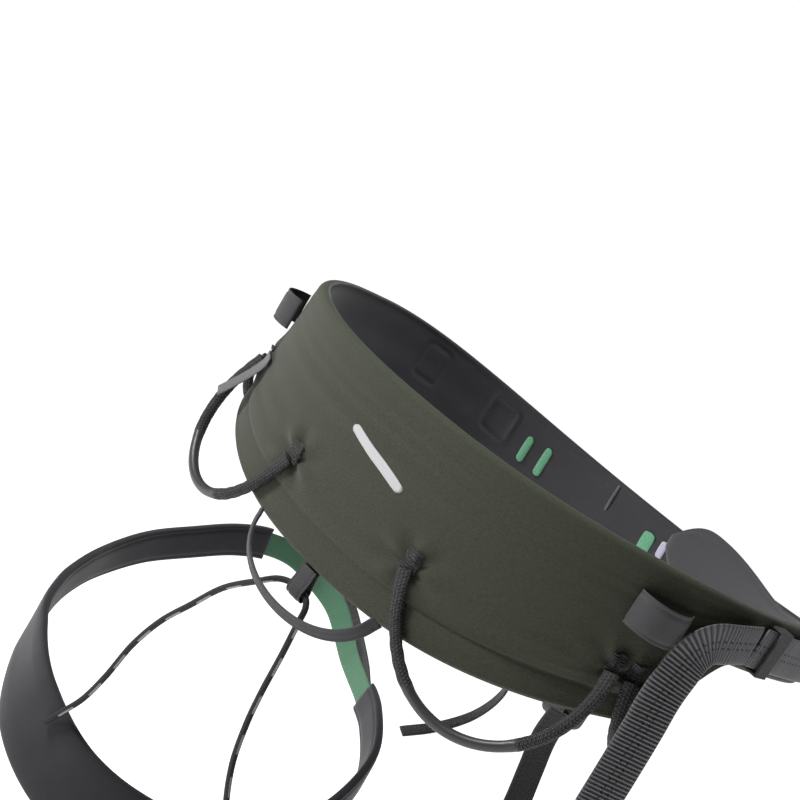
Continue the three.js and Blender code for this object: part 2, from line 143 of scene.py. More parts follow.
def skin(name, points, uv, wrap=(False, False), capped=False):
    """A mesh of quads on a grid of points. wrap says that the last row or
    column repeats the first one; capped closes both ends of a tube."""
    rows, columns = points.shape[:2]
    r, c = rows - wrap[0], columns - wrap[1]
    index = (np.arange(rows) % r)[:, None] * c + (np.arange(columns) % c)[None, :]
    quads = np.stack([index[:-1, :-1], index[:-1, 1:], index[1:, 1:], index[1:, :-1]], -1).reshape(-1, 4)
    corners = np.stack([uv[:-1, :-1], uv[:-1, 1:], uv[1:, 1:], uv[1:, :-1]], 2).reshape(-1, 2)
    kept = points[:r, :c].reshape(-1, 3)
    loops, sizes = [quads.ravel()], [np.full(len(quads), 4)]
    if capped:
        loops += [index[0, :c][::-1], index[-1, :c]]
        sizes.append(np.array([c, c]))
        corners = np.concatenate([corners, uv[0, :c][::-1], uv[-1, :c]])
    loops, sizes = np.concatenate(loops), np.concatenate(sizes)
    # six times the volume inside: positive when the faces point outwards
    a, b, d, e = (kept[quads[:, corner]] - kept.mean(0) for corner in range(4))
    volume = (np.cross(a, b) * d).sum() + (np.cross(a, d) * e).sum()
    mesh = bpy.data.meshes.new(name)
    mesh.vertices.add(len(kept))
    mesh.vertices.foreach_set("co", kept.astype(np.float32).ravel())
    mesh.loops.add(len(loops))
    mesh.loops.foreach_set("vertex_index", loops.astype(np.int32))
    mesh.polygons.add(len(sizes))
    mesh.polygons.foreach_set("loop_start", (np.cumsum(sizes) - sizes).astype(np.int32))
    mesh.update(calc_edges=True)
    layer = mesh.uv_layers.new(name="UVMap")
    layer.data.foreach_set("uv", corners.astype(np.float32).ravel())
    mesh.shade_smooth()
    mesh.validate()
    if volume < 0:
        mesh.flip_normals()
    piece = bpy.data.objects.new(name, mesh)
    bpy.context.scene.collection.objects.link(piece)
    return piece


def along(path):
    """Length in metres from the path's start to each of its points."""
    return np.concatenate([[0], np.cumsum(np.linalg.norm(np.diff(path, axis=0), axis=1))])


def tube(name, path, radius, flat=None, braid=0.0, sides=20, lay=0.007):
    """A round cord: a circle carried along the path without twist. flat gives
    how much the circle is pressed at each point, 1 for round, and the direction
    that it is pressed along. braid is the height in metres of two crossing
    families of strands, each a sine wave of the length and the turn."""
    tangent = np.gradient(path, axis=0)
    tangent /= np.linalg.norm(tangent, axis=1, keepdims=True)
    flat_by, direction = (np.ones(len(path)), np.array([0, 0, 1.0])) if flat is None else flat
    first = direction - tangent * (tangent @ np.asarray(direction))[:, None]
    first /= np.linalg.norm(first, axis=1, keepdims=True)
    second = np.cross(tangent, first)
    run = along(path)
    turn = np.linspace(0, 1, sides + 1)
    cross = np.cos(2 * np.pi * turn)[None, :], np.sin(2 * np.pi * turn)[None, :]
    phase = run[:, None] / lay
    lift = np.maximum(np.sin(2 * np.pi * (phase + 3 * turn)), np.sin(2 * np.pi * (phase - 3 * turn)))
    radius, braid = (np.asarray(v, float).reshape(-1, 1) for v in (radius, braid))
    reach = np.broadcast_to(radius, (len(path), 1)) + braid * (lift - 0.5)
    pressed = flat_by[:, None]
    points = (path[:, None] + (first[:, None] * (cross[0] * pressed * reach)[..., None]
              + second[:, None] * (cross[1] / np.sqrt(pressed) * reach)[..., None]))
    uv = np.stack(np.broadcast_arrays(run[:, None] * 100, turn[None, :]), -1)
    return skin(name, points, uv, wrap=(False, True), capped=True)


def material(name):
    """An empty node material and its Principled shader."""
    made = bpy.data.materials.new(name)
    made.use_nodes = True
    return made, made.node_tree, made.node_tree.nodes["Principled BSDF"]


def maths(tree, operation, *values, clamp=False):
    """A Math node whose inputs are numbers or other nodes' outputs."""
    node = tree.nodes.new("ShaderNodeMath")
    node.operation = operation
    node.use_clamp = clamp
    for socket, value in zip(node.inputs, values):
        if isinstance(value, (int, float)):
            socket.default_value = value
        else:
            tree.links.new(value, socket)
    return node.outputs[0]


def effect(name, inputs, outputs):
    """An empty shader node group with named float or vector sockets."""
    tree = bpy.data.node_groups.new(name, "ShaderNodeTree")
    for label, kind, value in inputs:
        socket = tree.interface.new_socket(label, in_out="INPUT", socket_type=kind)
        if value is not None:
            socket.default_value = value
    for label, kind in outputs:
        tree.interface.new_socket(label, in_out="OUTPUT", socket_type=kind)
    return tree, tree.nodes.new("NodeGroupInput").outputs, tree.nodes.new("NodeGroupOutput").inputs


def place(tree, group, **values):
    """A group node in a material, with its inputs set or linked by name."""
    node = tree.nodes.new("ShaderNodeGroup")
    node.node_tree = group
    for label, value in values.items():
        socket = node.inputs[label]
        if isinstance(value, bpy.types.NodeSocket):
            tree.links.new(value, socket)
        else:
            socket.default_value = value
    return node.outputs


def blend_colours(tree, mask, first, second):
    """Colour that goes from first to second as mask goes from 0 to 1."""
    node = tree.nodes.new("ShaderNodeMix")
    node.data_type = "RGBA"
    tree.links.new(mask, node.inputs["Factor"])
    for socket, colour in zip((node.inputs["A"], node.inputs["B"]), (first, second)):
        if isinstance(colour, bpy.types.NodeSocket):
            tree.links.new(colour, socket)
        else:
            socket.default_value = (*colour, 1)
    return node.outputs["Result"]


def bump(tree, height, strength, distance):
    """Normal of a Bump node fed by height."""
    node = tree.nodes.new("ShaderNodeBump")
    node.inputs["Strength"].default_value = strength
    node.inputs["Distance"].default_value = distance
    tree.links.new(height, node.inputs["Height"])
    return node.outputs["Normal"]


# Fibre: two scales of noise on the piece's own metres, one of them drawn out
# along the yarn, as a mask for heather colour and lint.
fibre, taken, given = effect(
    "fibre",
    [("Vector", "NodeSocketVector", None), ("Size", "NodeSocketFloat", 900.0)],
    [("Fleck", "NodeSocketFloat"), ("Cloud", "NodeSocketFloat")])
for label, ratio, detail in (("Fleck", 1.0, 3.0), ("Cloud", 0.035, 2.0)):
    noise = fibre.nodes.new("ShaderNodeTexNoise")
    noise.inputs["Detail"].default_value = detail
    noise.inputs["Roughness"].default_value = 0.65
    fibre.links.new(taken["Vector"], noise.inputs["Vector"])
    fibre.links.new(maths(fibre, "MULTIPLY", taken["Size"], ratio), noise.inputs["Scale"])
    spread = maths(fibre, "MULTIPLY_ADD", noise.outputs["Fac"], 2.4, -0.7, clamp=True)
    fibre.links.new(spread, given[label])

# Braid: two families of strands that cross, from the cord's own map (x along
# in centimetres, y once round).
FULL_TURN = 6.2832
braid, taken, given = effect(
    "braid",
    [("Vector", "NodeSocketVector", None), ("Lays", "NodeSocketFloat", 1.6),
     ("Strands", "NodeSocketFloat", 8.0)],
    [("Height", "NodeSocketFloat"), ("Knuckle", "NodeSocketFloat")])
axes = braid.nodes.new("ShaderNodeSeparateXYZ")
braid.links.new(taken["Vector"], axes.inputs[0])
lays = maths(braid, "MULTIPLY", maths(braid, "MULTIPLY", axes.outputs["X"], taken["Lays"]), FULL_TURN)
strands_round = maths(braid, "MULTIPLY", axes.outputs["Y"], taken["Strands"])
round_turn = maths(braid, "MULTIPLY", strands_round, FULL_TURN)
one = maths(braid, "SINE", maths(braid, "ADD", maths(braid, "MULTIPLY", lays, 4), round_turn))
two = maths(braid, "SINE", maths(braid, "SUBTRACT", maths(braid, "MULTIPLY", lays, 4), round_turn))
braid.links.new(maths(braid, "MAXIMUM", one, two), given["Height"])
crossing = maths(braid, "SUBTRACT", maths(braid, "MULTIPLY", one, two), 0.45)
braid.links.new(maths(braid, "MULTIPLY", crossing, 3, clamp=True), given["Knuckle"])


def cord_material(name, dark, light, gloss, sleeve):
    """Cord: braided in the sleeves at both ends (sleeve gives where they stop, in centimetres along the
    cord) with a smooth tube between. The braid's knuckles, where its strands cross, carry a painted
    highlight that random pale flecks break up."""
    made, tree, shader = material(name)
    chart = tree.nodes.new("ShaderNodeTexCoord")
    strands = place(tree, braid, Vector=chart.outputs["UV"], Lays=1.45, Strands=6.0)
    fleck = place(tree, fibre, Vector=chart.outputs["Object"], Size=1500.0)["Fleck"]
    bright = maths(tree, "MULTIPLY_ADD", fleck, 1.6, -0.35, clamp=True)
    # painted highlight: the braid's knuckles, where the strands cross, are coloured lighter; the fleck mask
    # makes it vary at random
    flecked_knuckle_highlight = blend_colours(tree, maths(tree, "MULTIPLY", strands["Knuckle"], bright), dark, light)
    split = tree.nodes.new("ShaderNodeSeparateXYZ")
    tree.links.new(chart.outputs["UV"], split.inputs[0])
    before = maths(tree, "SUBTRACT", sleeve[0], split.outputs["X"])
    after = maths(tree, "SUBTRACT", split.outputs["X"], sleeve[1])
    sleeved = maths(tree, "MAXIMUM", maths(tree, "MULTIPLY", before, 4, clamp=True),
                    maths(tree, "MULTIPLY", after, 4, clamp=True))
    smooth = blend_colours(tree, fleck, [v * 0.9 for v in gloss], gloss)
    tree.links.new(blend_colours(tree, sleeved, smooth, flecked_knuckle_highlight), shader.inputs["Base Color"])
    tree.links.new(maths(tree, "MULTIPLY_ADD", sleeved, 0.34, 0.42), shader.inputs["Roughness"])
    height = maths(tree, "MULTIPLY", strands["Height"], sleeved)
    tree.links.new(bump(tree, height, 0.7, 0.00035), shader.inputs["Normal"])
    return made


# Each racking loop's two sewn ends, rear one first, in degrees and mm: angle,
# drop (None is sewn under the belt's lower edge), then how far its handle
# reaches out, down and along.
RACKING = {
    "gear_loop_rear": ((13.5, 61, 13, 75, 28), (53.9, 50, 29.5, 57, 5)),
    "gear_loop_front": ((58.4, 50, 26, 60, -2), (157, None, 12, 60, -8)),
}
for sign, word in ((-1, "left"), (1, "right")):
    for name, (rear, front) in RACKING.items():
        ends, handles = [], []
        for angle, drop, *_ in (rear, front):
            angle = sign * angle
            under = belt_height(angle) + 3.2
            ends.append(waist(angle, under, -3) if drop is None else waist(angle, drop, 2.9))
        chord = (ends[1] - ends[0]) * (1, 1, 0)
        chord /= np.linalg.norm(chord)
        for end, way, (angle, _, out, down, forth) in ((ends[0], 1, rear), (ends[1], -1, front)):
            handles.append(end + outward(np.array(sign * angle)) * out / 1000
                           + chord * way * forth / 1000 + np.array([0, 0, -down / 1000]))
        path = bezier(ends[0], handles[0], handles[1], ends[1], np.linspace(0, 1, 260))
        run = along(path)
        edge = np.minimum(run, run[-1] - run)
        sleeve = 1 - np.clip((edge - 0.050) / 0.006, 0, 1)
        pressed = 1 - 0.45 * np.exp(-(edge / 0.014) ** 2)
        radius = 0.0025 + 0.0003 * sleeve
        loop = tube(f"{name}_cord_{word}", path, radius, flat=(pressed, outward(np.array(sign * rear[0]))),
                    braid=0.00012 * sleeve)
        loop.data.materials.append(cord_material(
            f"{name}_{word}_braid", (0.018, 0.018, 0.019), (0.16, 0.16, 0.165),
            (0.042, 0.042, 0.044), sleeve=(5.2, 100 * run[-1] - 5.2)))
        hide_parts(f"{name}_{word}")
        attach(loop, f"{name}_{word}")

# The riser's two halves, from the tab's fold to the leg bands, in mm.
RISER = {
    "left": [(0.3, 119.9, -92.6), (6, 119.9, -92.7), (13, 120.3, -95.5), (23, 120.5, -104),
             (38, 121, -118.5), (49, 122, -136), (58, 124, -152), (65, 125, -171),
             (69, 126, -194), (73, 127.5, -210), (78, 130.4, -222), (82, 132.2, -231)],
    "right": [(-0.3, 119.9, -92.6), (-5.6, 119.9, -92.8), (-9, 120.3, -96), (-10.5, 121, -104.5),
              (-12, 121, -120), (-14, 122, -139), (-17, 123, -155), (-24, 125, -173), (-38, 127, -191),
              (-56, 128, -203), (-72, 128.4, -211), (-80, 130.6, -221), (-85, 132.2, -230)],
}
riser_finish, tree, shader = material("riser_braid")
chart = tree.nodes.new("ShaderNodeTexCoord")
strands = place(tree, braid, Vector=chart.outputs["UV"], Lays=2.4, Strands=5.0)
split = tree.nodes.new("ShaderNodeSeparateXYZ")
tree.links.new(chart.outputs["UV"], split.inputs[0])
# plain dashes, 1.95 cm apart, on two opposite sides of the cord
beat = maths(tree, "FRACT", maths(tree, "DIVIDE", maths(tree, "ADD", split.outputs["X"], 0.9), 1.95))
off_beat = maths(tree, "ABSOLUTE", maths(tree, "SUBTRACT", beat, 0.5))
dash = maths(tree, "MULTIPLY", maths(tree, "SUBTRACT", 0.25, off_beat), 30, clamp=True)
half_turn = maths(tree, "FRACT", maths(tree, "MULTIPLY", split.outputs["Y"], 2.0))
flank = maths(tree, "ABSOLUTE", maths(tree, "SUBTRACT", half_turn, 0.5))
facing = maths(tree, "MULTIPLY", maths(tree, "SUBTRACT", 0.17, flank), 20, clamp=True)
mark = maths(tree, "MULTIPLY", dash, facing)
colour = blend_colours(tree, mark, (0.016, 0.016, 0.017), (0.34, 0.34, 0.35))
tree.links.new(colour, shader.inputs["Base Color"])
tree.links.new(bump(tree, strands["Height"], 0.5, 0.0002), shader.inputs["Normal"])
shader.inputs["Roughness"].default_value = 0.7
for word, points in RISER.items():
    path = spline(np.array(points) / 1000, np.linspace(0, 1, 220))
    riser = tube(f"riser_{word}", path, 0.0015, flat=(np.ones(len(path)), np.array([0.3, 0.9, 0.3])))
    riser.data.materials.append(riser_finish)
    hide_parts(f"riser_cord_{word}")
    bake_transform(riser)


# ---------------------------------------------------------------- waist belt
# One moulded pad: an olive heather face fabric with soft pressed ridges round
# a foam core, and a charcoal lining that turns over the top and bottom edges.
BELT_FROM, BELT_TO, BELT_THICK = -190.0, 156.0, 6.7
CLIPPER_ANGLE, CLIPPER_DROP = 56.5, 21


def face_relief(angle, share):
    """Height in mm of the face's pressed lines: long Gaussian ridges and one
    sharp crease that follow the belt, each fading along it on sine waves and
    weaker in front and under the clipper tapes, and star-shaped puckers round
    the sewn ends of the racking loops."""
    strong = 0.62 + 0.38 * np.tanh((angle + 5) / 22)
    strong = strong * (1 - 0.8 * np.clip((np.abs(angle) - 66) / 8, 0, 1))
    drop = share * belt_height(angle)
    clipper = ((np.abs(angle) - CLIPPER_ANGLE) * 2.4 / 14) ** 2 + ((drop - CLIPPER_DROP) / 10) ** 2
    strong = strong * (1 - 0.85 * np.exp(-clipper ** 2))
    # share of the belt's height, width as a share, height in mm, wave's shift
    lines = ((0.135, 0.020, 0.50, 0.3), (0.205, 0.018, 0.45, 1.1), (0.315, 0.030, 0.50, 2.0),
             (0.47, 0.045, 0.28, 3.1), (0.62, 0.035, 0.45, 4.0), (0.745, 0.032, 0.75, 5.2),
             (0.90, 0.030, 0.35, 0.9))
    height = 0 * share
    for at, width, tall, shift in lines:
        fade = 0.7 + 0.3 * np.sin(np.radians(angle * 3.1) + shift)
        drift = 0.006 * np.sin(np.radians(angle * 2.3) + 2 * shift)
        height = height + 3.2 * tall * strong * fade * np.exp(-((share - at - drift) / (1.45 * width)) ** 2)
    crease = share - 0.828 - 0.004 * np.sin(np.radians(angle * 6))
    height = height - 1.3 * (0.4 + 0.6 * strong) * np.exp(-(crease / 0.011) ** 2)
    height = height - 0.7 * (0.5 + 0.5 * np.tanh(crease / 0.012))
    for at, tack in ((13.5, 60), (53.9, 49), (58.4, 48), (-13.5, 60), (-53.9, 49), (-58.4, 48)):
        x, y = (angle - at) * 2.15, drop - tack
        far, way = np.hypot(x, y) + 1e-6, np.arctan2(y, x)
        height = height - 1.2 * np.exp(-(far / 5.0) ** 2)
        height = height + 1.0 * np.exp(-((far - 8) / 7) ** 2) * np.cos(5 * way + at)
    return height


def lining_relief(angle, drop):
    """Height in mm of the lining's pressed outlines: rounded rectangles, and
    shallow long channels between them."""
    height = 0.25 * np.cos(drop * 0.33)
    for at in (-137.6, -112, 137, 112):
        x, y = np.abs((angle - at) * 2.45) - 7, np.abs(drop - 17) - 7
        edge = np.hypot(np.maximum(x, 0), np.maximum(y, 0)) + np.minimum(np.maximum(x, y), 0) - 3
        height = height + 1.3 * np.exp(-(edge / 1.2) ** 2)
    return height


angle = np.linspace(BELT_FROM, BELT_TO, 640)
quarter = np.linspace(0, np.pi, 13)[1:-1]
face_steps, lining_steps = 78, 34
radius = BELT_THICK / 2
tall = belt_height(angle)[:, None]
ending = np.minimum(angle - BELT_FROM, BELT_TO - angle) * 2.3
slim = np.sqrt(np.clip(1 - np.clip(1 - ending / 3.2, 0, 1) ** 2, 0.02, 1))[:, None]
down = np.linspace(0, 1, face_steps)[None, :]
face_drop = radius + (tall - 2 * radius) * down
face_share = face_drop / tall
rise = face_relief(angle[:, None], face_share) * np.sin(np.pi * np.clip(face_share, 0, 1)) ** 0.4
sag = lining_relief(angle[:, None], radius + (tall - 2 * radius) * np.linspace(0, 1, lining_steps)[None, :])
drops = np.concatenate([
    face_drop,
    tall - radius + radius * np.sin(quarter)[None, :],
    (radius + (tall - 2 * radius) * np.linspace(1, 0, lining_steps)[None, :]),
    radius - radius * np.sin(quarter)[None, :] + 0 * tall,
    face_drop[:, :1]], 1)
outs = np.concatenate([
    rise,
    -radius + radius * np.cos(quarter)[None, :] + 0 * tall,
    -BELT_THICK - 0.7 * sag[:, ::-1],
    -radius - radius * np.cos(quarter)[None, :] + 0 * tall,
    rise[:, :1]], 1)
outs = -radius + (outs + radius) * slim
points = waist(angle[:, None], drops, outs)
run = along(waist(angle, 20.0))
uv = np.stack(np.broadcast_arrays(run[:, None] * 100, drops / 10), -1)
belt = skin("belt", points, uv, wrap=(False, True), capped=True)
column = np.arange(drops.shape[1] - 1)
turned = face_steps - 1 + len(quarter) // 2
is_lining = (column >= turned) & (column < drops.shape[1] - 1 - len(quarter) // 2 - 1)
slots = np.concatenate([np.tile(is_lining, len(angle) - 1), [False, False]]).astype(np.int32)
belt.data.polygons.foreach_set("material_index", slots)

olive, tree, shader = material("olive_heather")
chart = tree.nodes.new("ShaderNodeTexCoord")
stretch = tree.nodes.new("ShaderNodeMapping")
stretch.inputs["Scale"].default_value = (0.45, 1.5, 1.0)
tree.links.new(chart.outputs["UV"], stretch.inputs["Vector"])
heather = place(tree, fibre, Vector=stretch.outputs["Vector"], Size=9.5)
lint = place(tree, fibre, Vector=chart.outputs["Object"], Size=1400.0)
split = tree.nodes.new("ShaderNodeSeparateXYZ")
tree.links.new(chart.outputs["UV"], split.inputs[0])
warp = maths(tree, "SINE", maths(tree, "MULTIPLY", split.outputs["X"], 62.8))
weft = maths(tree, "SINE", maths(tree, "MULTIPLY", split.outputs["Y"], 78.5))
yarn = maths(tree, "MULTIPLY_ADD", maths(tree, "MULTIPLY", warp, weft), 0.35, lint["Fleck"])
base = blend_colours(tree, heather["Fleck"], (0.0225, 0.0250, 0.0140), (0.045, 0.0490, 0.0300))
base = blend_colours(tree, maths(tree, "MULTIPLY", lint["Fleck"], 0.35), base, (0.057, 0.061, 0.041))
# painted highlight: the rolled top rim of the belt, less than 3 mm below its top edge, is coloured a lighter
# green
edge = maths(tree, "MULTIPLY", maths(tree, "SUBTRACT", 0.30, split.outputs["Y"]), 5.0, clamp=True)
base = blend_colours(tree, maths(tree, "MULTIPLY", edge, 0.45), base, (0.072, 0.088, 0.050))
tree.links.new(base, shader.inputs["Base Color"])
tree.links.new(bump(tree, yarn, 0.55, 0.0003), shader.inputs["Normal"])
shader.inputs["Roughness"].default_value = 0.92
shader.inputs["Sheen Weight"].default_value = 0.15
shader.inputs["Sheen Roughness"].default_value = 0.5

charcoal, tree, shader = material("charcoal_lining")
chart = tree.nodes.new("ShaderNodeTexCoord")
lint = place(tree, fibre, Vector=chart.outputs["Object"], Size=1100.0)
cloud = maths(tree, "MULTIPLY_ADD", lint["Cloud"], 0.5, maths(tree, "MULTIPLY", lint["Fleck"], 0.35))
colour = blend_colours(tree, cloud, (0.017, 0.0163, 0.0205), (0.031, 0.0295, 0.036))
tree.links.new(colour, shader.inputs["Base Color"])
tree.links.new(bump(tree, lint["Fleck"], 0.3, 0.0002), shader.inputs["Normal"])
shader.inputs["Roughness"].default_value = 0.8
shader.inputs["Sheen Weight"].default_value = 0.25
shader.inputs["Sheen Roughness"].default_value = 0.45
belt.data.materials.append(olive)
belt.data.materials.append(charcoal)
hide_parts("belt_outer_shell", "belt_foam_core", "belt_lining", "belt_load_tape")
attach(belt, "waist_belt")

# Flexible bars let into the lining: short round-ended green strips, a paler
# one at the front, and one thin tape on edge.
# angle, top and bottom drop in mm, width in mm, colour
BARS = {
    "lining_bar_1": (-147.4, 13, 29, 5.2, "green"), "lining_bar_2": (-152.9, 11.2, 29, 5.2, "green"),
    "lining_bar_3": (-180.5, 11, 24, 4.8, "green"), "lining_bar_4": (-183.4, 10, 20, 3.8, "pale"),
    "lining_tape": (-171.0, 1.6, 18, 1.7, "tape"),
}
BAR_COLOURS = {
    "green": ((0.095, 0.30, 0.165), (0.15, 0.40, 0.24)),
    "pale": ((0.42, 0.41, 0.52), (0.52, 0.50, 0.62)),
    "tape": ((0.085, 0.083, 0.090), (0.11, 0.108, 0.115)),
}
bar_finish = {}
for key, (low, high) in BAR_COLOURS.items():
    bar_finish[key], tree, shader = material(f"bar_{key}")
    chart = tree.nodes.new("ShaderNodeTexCoord")
    lint = place(tree, fibre, Vector=chart.outputs["Object"], Size=1300.0)
    tree.links.new(blend_colours(tree, lint["Fleck"], low, high), shader.inputs["Base Color"])
    tree.links.new(bump(tree, lint["Fleck"], 0.4, 0.0002), shader.inputs["Normal"])
    shader.inputs["Roughness"].default_value = 0.7
for name, (at, top, bottom, width, key) in BARS.items():
    # a capsule outline of half-width w, shrunk towards its middle line and
    # domed inward by a quarter ellipse
    turn = np.linspace(0, 2 * np.pi, 49)
    ring = np.linspace(1, 0.02, 14)[:, None]
    x = width / 2 * ring * np.cos(turn)[None, :]
    straight = (bottom - top - width) / 2 * np.clip(np.sin(turn) * 3, -1, 1)[None, :] * (0.25 + 0.75 * ring)
    y = straight + width / 2 * ring * np.sin(turn)[None, :]
    dome = 0.75 * np.sqrt(1 - ring ** 2 + 1e-9) + 0 * x
    degrees = 1 / 2.5
    shell = waist(at + x * degrees, (top + bottom) / 2 + y, -BELT_THICK - 0.3 - dome)
    bar = skin(name, shell, np.stack([x, y], -1) / 10, wrap=(False, True), capped=True)
    bar.data.materials.append(bar_finish[key])
    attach(bar, "waist_belt")

# A plain round-ended strip is heat-pressed on the belt's face at the rear
# centre, tilted by 20 degrees; it is smooth, pale and as thin as foil.
turn = np.linspace(0, 2 * np.pi, 65)
ring = np.linspace(1, 0.02, 10)[:, None]
x = 11 * np.clip(np.cos(turn) * 2.2, -1, 1)[None, :] * ring + 2.4 * ring * np.cos(turn)[None, :]
y = 2.4 * ring * np.sin(turn)[None, :]
tilt = np.radians(20)
badge_angle, badge_drop = -0.3, 33.0
dx, dy = x * np.cos(tilt) - y * np.sin(tilt), x * np.sin(tilt) + y * np.cos(tilt)
badge_at = badge_angle + dx * 0.46
under = face_relief(badge_at, (badge_drop + dy) / belt_height(badge_angle))
foil = waist(badge_at, badge_drop + dy, under + 0.12 + 0.1 * (1 - ring ** 6))
badge = skin("pressed_strip", foil, np.stack([dx, dy], -1) / 10, wrap=(False, True), capped=True)
pale, tree, shader = material("pressed_foil")
chart = tree.nodes.new("ShaderNodeTexCoord")
lint = place(tree, fibre, Vector=chart.outputs["Object"], Size=1600.0)
colour = blend_colours(tree, lint["Fleck"], (0.50, 0.50, 0.51), (0.60, 0.60, 0.61))
tree.links.new(colour, shader.inputs["Base Color"])
tree.links.new(bump(tree, lint["Fleck"], 0.15, 0.0001), shader.inputs["Normal"])
shader.inputs["Roughness"].default_value = 0.5
badge.data.materials.append(pale)
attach(badge, "waist_belt")

# ---------------------------------------------------------------- webbing
# Waist strap, its return, the buckle's fixed strap and the hanging tail: 19 mm
# woven webbing with raised cross ribs and two rows of centre stitches.


def strap(name, centre, wide, width, thick, rib=0.0, pitch=0.0018, stitches=(), sides=44,
          closed=False, groove=()):
    """A flat strap: a rounded oblong (superellipse with sharp powers) carried
    along centre, its width along wide. Cosine ribs lift both faces, stitches
    press short dents into them at the given distances from the middle, and
    grooves are long pressed lines. Lengths are in metres."""
    tangent = np.gradient(centre, axis=0)
    if closed:
        tangent[0] = tangent[-1] = centre[1] - centre[-2]
    tangent /= np.linalg.norm(tangent, axis=1, keepdims=True)
    wide = wide - tangent * (wide * tangent).sum(1, keepdims=True)
    wide /= np.linalg.norm(wide, axis=1, keepdims=True)
    out = np.cross(tangent, wide)
    turn = np.linspace(0, 2 * np.pi, sides + 1)[None, :]
    width, thick = (np.broadcast_to(np.asarray(v, float), len(centre))[:, None] for v in (width, thick))
    x = width / 2 * signed_power(np.cos(turn), 0.42)
    z = signed_power(np.sin(turn), 0.55)
    run = along(centre)[:, None]
    inside = np.clip((width / 2 - np.abs(x)) / 0.0012, 0, 1)
    lift = rib * np.cos(2 * np.pi * run / pitch) * inside
    for at in stitches:
        beat = np.clip(np.cos(2 * np.pi * run / 0.0031) * 2, -1, 1)
        lift = lift - 0.00035 * np.exp(-((x - at) / 0.0005) ** 2) * (0.5 + 0.5 * beat)
    for at in groove:
        lift = lift - 0.0004 * np.exp(-((x - at) / 0.0007) ** 2)
    if not closed:
        edge = np.minimum(run, run[-1] - run)
        thick = thick * np.sqrt(np.clip(1 - np.clip(1 - edge / 0.0008, 0, 1) ** 2, 0.15, 1))
    raised = z * (thick / 2 + lift)
    points = centre[:, None] + wide[:, None] * x[..., None] + out[:, None] * raised[..., None]
    uv = np.stack(np.broadcast_arrays(run * 100, x * 100), -1)
    return skin(name, points, uv, wrap=(closed, True), capped=not closed)


def webbing_material(name, dark, light, pitch=0.18, rows=(), sheen=0.2):
    """Woven tape: yarns a rib apart across it, a painted highlight that colours each rib's crown lighter,
    random lint flecks, and darker thread where rows of stitches run along it. The tape's own map is in
    centimetres, x along and y across."""
    made, tree, shader = material(name)
    chart = tree.nodes.new("ShaderNodeTexCoord")
    split = tree.nodes.new("ShaderNodeSeparateXYZ")
    tree.links.new(chart.outputs["UV"], split.inputs[0])
    lint = place(tree, fibre, Vector=chart.outputs["Object"], Size=1500.0)
    run_turns = maths(tree, "MULTIPLY", split.outputs["X"], FULL_TURN / pitch)
    rib = maths(tree, "MULTIPLY_ADD", maths(tree, "COSINE", run_turns), 0.5, 0.5)
    yarn = maths(tree, "SINE", maths(tree, "MULTIPLY", split.outputs["Y"], 110.0))
    # painted highlight: each rib's crown is coloured lighter by the rib mask, mixed with random lint flecks
    fleck_and_crown_highlight = maths(tree, "MULTIPLY_ADD", lint["Fleck"], 0.35, maths(tree, "MULTIPLY", rib, 0.65))
    colour = blend_colours(tree, fleck_and_crown_highlight, dark, light)
    for at in rows:
        aside = maths(tree, "ABSOLUTE", maths(tree, "SUBTRACT", split.outputs["Y"], at))
        near = maths(tree, "MULTIPLY", maths(tree, "SUBTRACT", 0.055, aside), 40, clamp=True)
        stitch_turns = maths(tree, "MULTIPLY", split.outputs["X"], FULL_TURN / 0.31)
        beat = maths(tree, "MULTIPLY_ADD", maths(tree, "COSINE", stitch_turns), 3, 0.5, clamp=True)
        colour = blend_colours(tree, maths(tree, "MULTIPLY", near, beat), colour, (0.010, 0.010, 0.011))
    tree.links.new(colour, shader.inputs["Base Color"])
    weave = maths(tree, "MULTIPLY_ADD", yarn, 0.4, lint["Fleck"])
    tree.links.new(bump(tree, weave, 0.4, 0.0002), shader.inputs["Normal"])
    shader.inputs["Roughness"].default_value = 0.62
    shader.inputs["Sheen Weight"].default_value = sheen
    return made


ribbed = webbing_material("ribbed_webbing", (0.012, 0.012, 0.013), (0.175, 0.171, 0.184), rows=(-0.16, 0.16))
STRAP_DROP = 13.5
UP = np.array([0.0, 0.0, 1.0])
for name, node, start, end, low in (("waist_strap_web", "waist_strap", 96, 159, 0.5),
                                    ("strap_return_web", "strap_return", 80, 159, 2.6),
                                    ("buckle_strap_web", "buckle_strap", 168, 205, 0.5)):
    a = np.linspace(start, end, 520)
    centre = waist(a, STRAP_DROP, low + 0.8)
    web = strap(name, centre, np.tile(UP, (len(a), 1)), 0.019, 0.0015, rib=0.00018,
                stitches=(-0.0016, 0.0016))
    web.data.materials.append(ribbed)
    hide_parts(node)
    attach(web, "waist_belt")

TAIL = np.array([(79, 13.5, 3.4), (73, 15.5, 6.5), (67.5, 19, 8.5), (64.8, 26, 9.5), (63.6, 37, 10.5),
                 (63, 48, 11), (63, 62, 11.5), (63, 80, 11.5), (63, 102, 11)], float)
centre = spline(waist(TAIL[:, 0], TAIL[:, 1], TAIL[:, 2]), np.linspace(0, 1, 620))
tangent = np.gradient(centre, axis=0)
facing = centre / np.array([WAIST_HALF_WIDTH ** 2, WAIST_HALF_DEPTH ** 2, 1]) * (1, 1, 0)
tail = strap("strap_tail_web", centre, np.cross(tangent, facing), 0.019, 0.0017, rib=0.00042,
             stitches=(-0.0016, 0.0016))
tail.data.materials.append(ribbed)
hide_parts("strap_tail")
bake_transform(tail)

